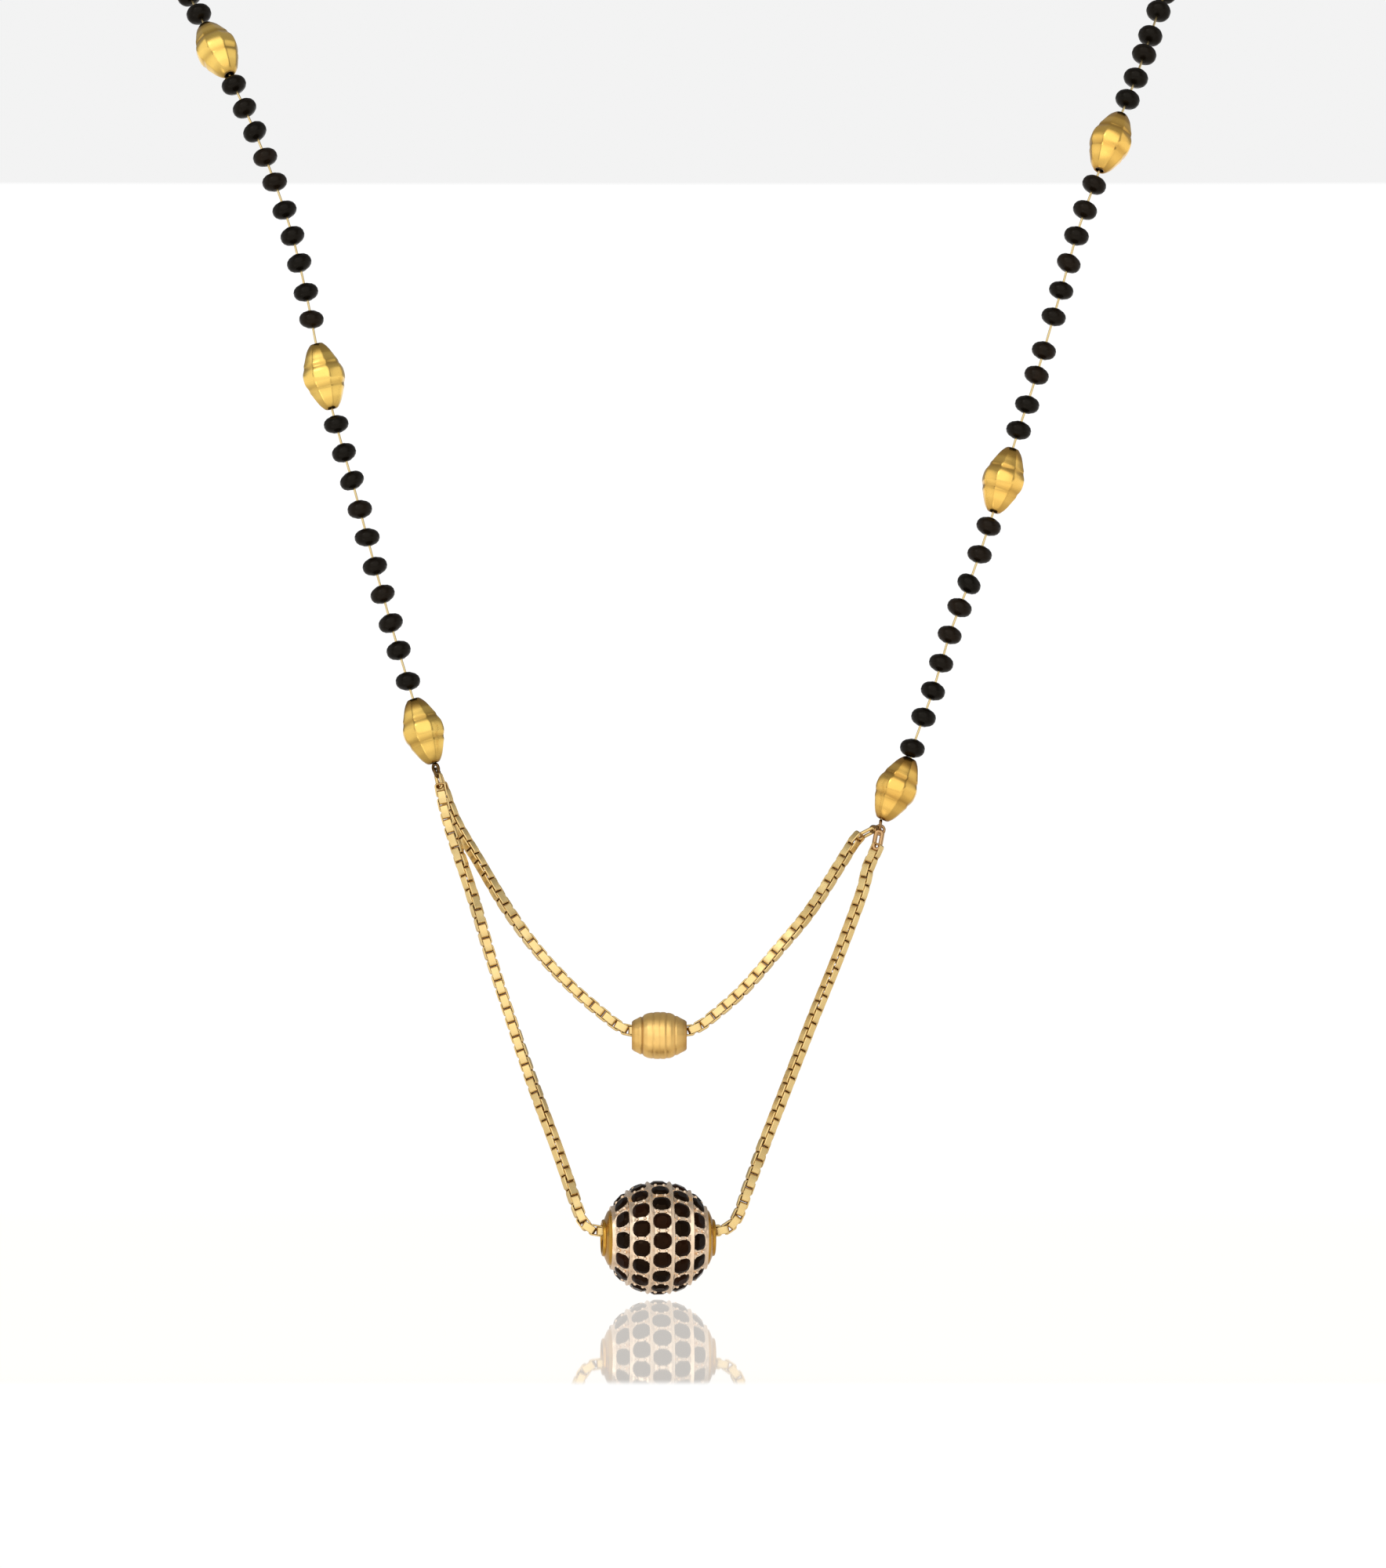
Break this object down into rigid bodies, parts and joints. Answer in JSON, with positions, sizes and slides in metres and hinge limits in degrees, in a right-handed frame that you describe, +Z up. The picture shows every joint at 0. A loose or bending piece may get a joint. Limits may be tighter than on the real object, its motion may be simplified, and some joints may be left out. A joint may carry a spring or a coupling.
{
  "type": "mangalsutra necklace",
  "caption": "Bridal necklace of black beads and faceted gold beads, with two fine gold chains in front that carry a grooved barrel and a paved ball pendant.",
  "frame": {"origin": "middle of the double hook at the nape, where the back of the loop rests on the neck", "axes": "+Z up, +X to the right of a person who looks at the front, and the front with its pendant faces -Y"},
  "size_m": [0.1203, 0.1191, 0.1815],
  "materials": {
    "gold": "polished",
    "chain_gold": "polished",
    "rose_gold": "polished",
    "black_glass": "glossy"
  },
  "bodies": {
    "root": {"ball_pendant": "rose_gold", "lower_chain": "chain_gold", "grooved_barrel": "gold", "upper_chain": "chain_gold", "left_joining_ring": "gold", "right_joining_ring": "gold", "clasp_hook": "gold", "left_gold_bead_1": "gold", "left_gold_bead_2": "gold", "left_gold_bead_3": "gold", "left_gold_bead_4": "gold", "left_gold_bead_5": "gold", "left_gold_bead_6": "gold", "right_gold_bead_1": "gold", "right_gold_bead_2": "gold", "right_gold_bead_3": "gold", "right_gold_bead_4": "gold", "right_gold_bead_5": "gold", "right_gold_bead_6": "gold", "left_black_run_1": "black_glass", "left_black_run_2": "black_glass", "left_black_run_3": "black_glass", "left_black_run_4": "black_glass", "left_black_run_5": "black_glass", "left_black_run_6": "black_glass", "right_black_run_1": "black_glass", "right_black_run_2": "black_glass", "right_black_run_3": "black_glass", "right_black_run_4": "black_glass", "right_black_run_5": "black_glass", "right_black_run_6": "black_glass"}
  },
  "joints": []
}
